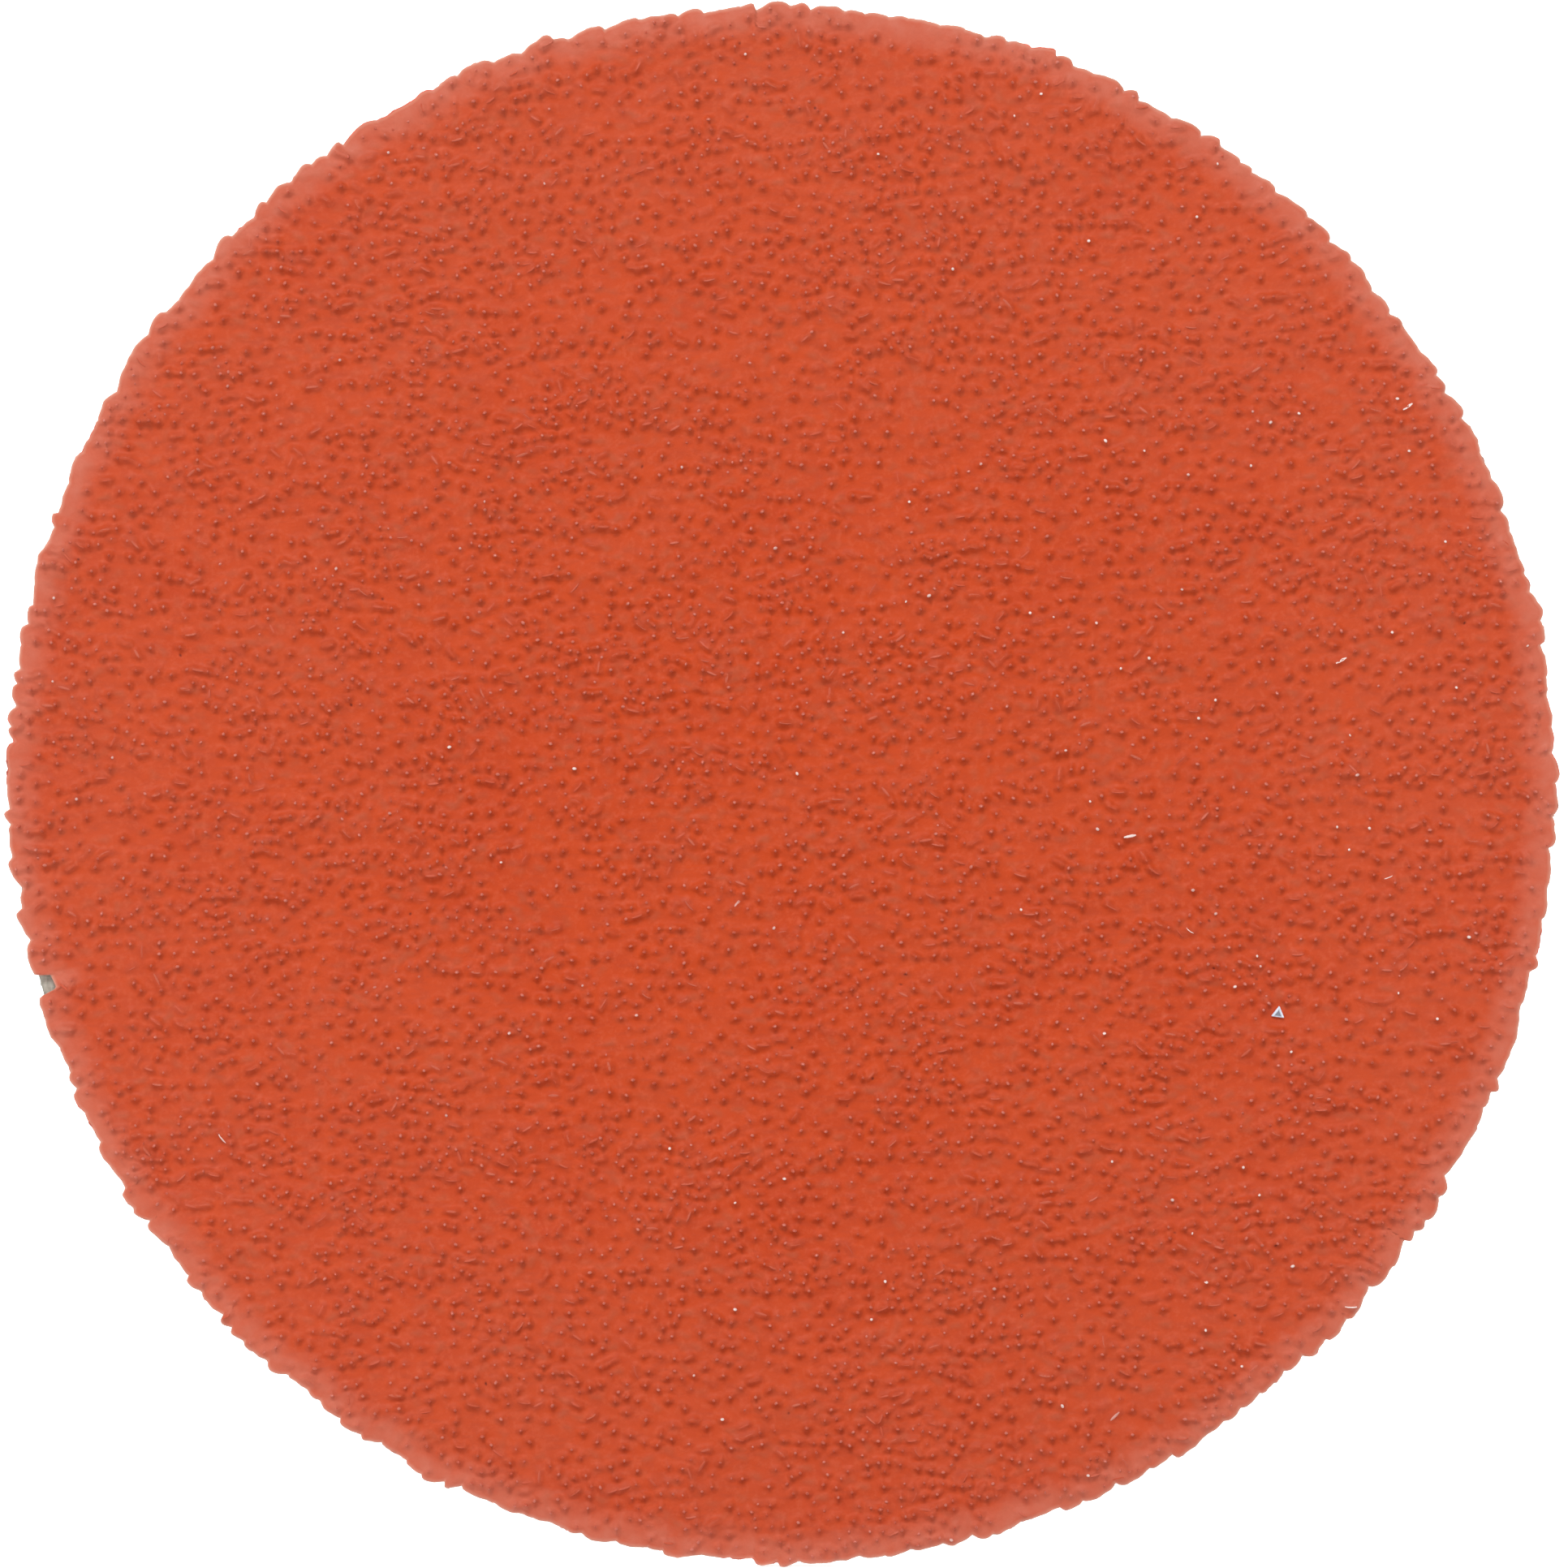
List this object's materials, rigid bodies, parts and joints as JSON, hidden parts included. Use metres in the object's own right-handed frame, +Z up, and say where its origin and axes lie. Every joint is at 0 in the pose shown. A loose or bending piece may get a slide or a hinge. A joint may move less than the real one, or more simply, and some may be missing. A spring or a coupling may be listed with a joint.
{
  "type": "abrasive disc",
  "caption": "Cloth-backed round abrasive disc for an angle grinder: upright shaped ceramic grain in orange resin, ragged rim, and a moulded threaded button on the back for a quick-change pad.",
  "frame": {"origin": "on the disc's axis, in the plane where the back cloth lies on a backing pad", "axes": "+Y along the stud, away from the abrasive face, which looks along -Y; +Z up and +X to the right for someone who looks at the abrasive face; the disc spins about Y"},
  "size_m": [0.0764, 0.0107, 0.0769],
  "materials": {
    "ceramic_grain": "sintered alumina under a film of orange resin",
    "bare_grain": "bare silvery white sintered alumina, faintly glossy",
    "supersize_resin": "satin orange grinding-aid coat",
    "size_resin": "satin orange phenolic resin",
    "make_resin": "brown-orange phenolic resin",
    "backing_cloth": "resin-filled grey-tan polyester cloth",
    "laminating_glue": "amber adhesive film",
    "hot_melt": "translucent amber hot melt",
    "nylon": "satin moulded nylon, dark grey"
  },
  "bodies": {
    "root": {"tip_up_grains": "ceramic_grain", "edge_up_grains": "ceramic_grain", "loose_grain": "bare_grain", "supersize_coat": "supersize_resin", "size_coat": "size_resin", "make_coat": "make_resin", "face_cloth": "backing_cloth", "laminating_adhesive": "laminating_glue", "back_cloth": "backing_cloth", "button_adhesive": "hot_melt", "drive_button": "nylon"}
  },
  "joints": []
}
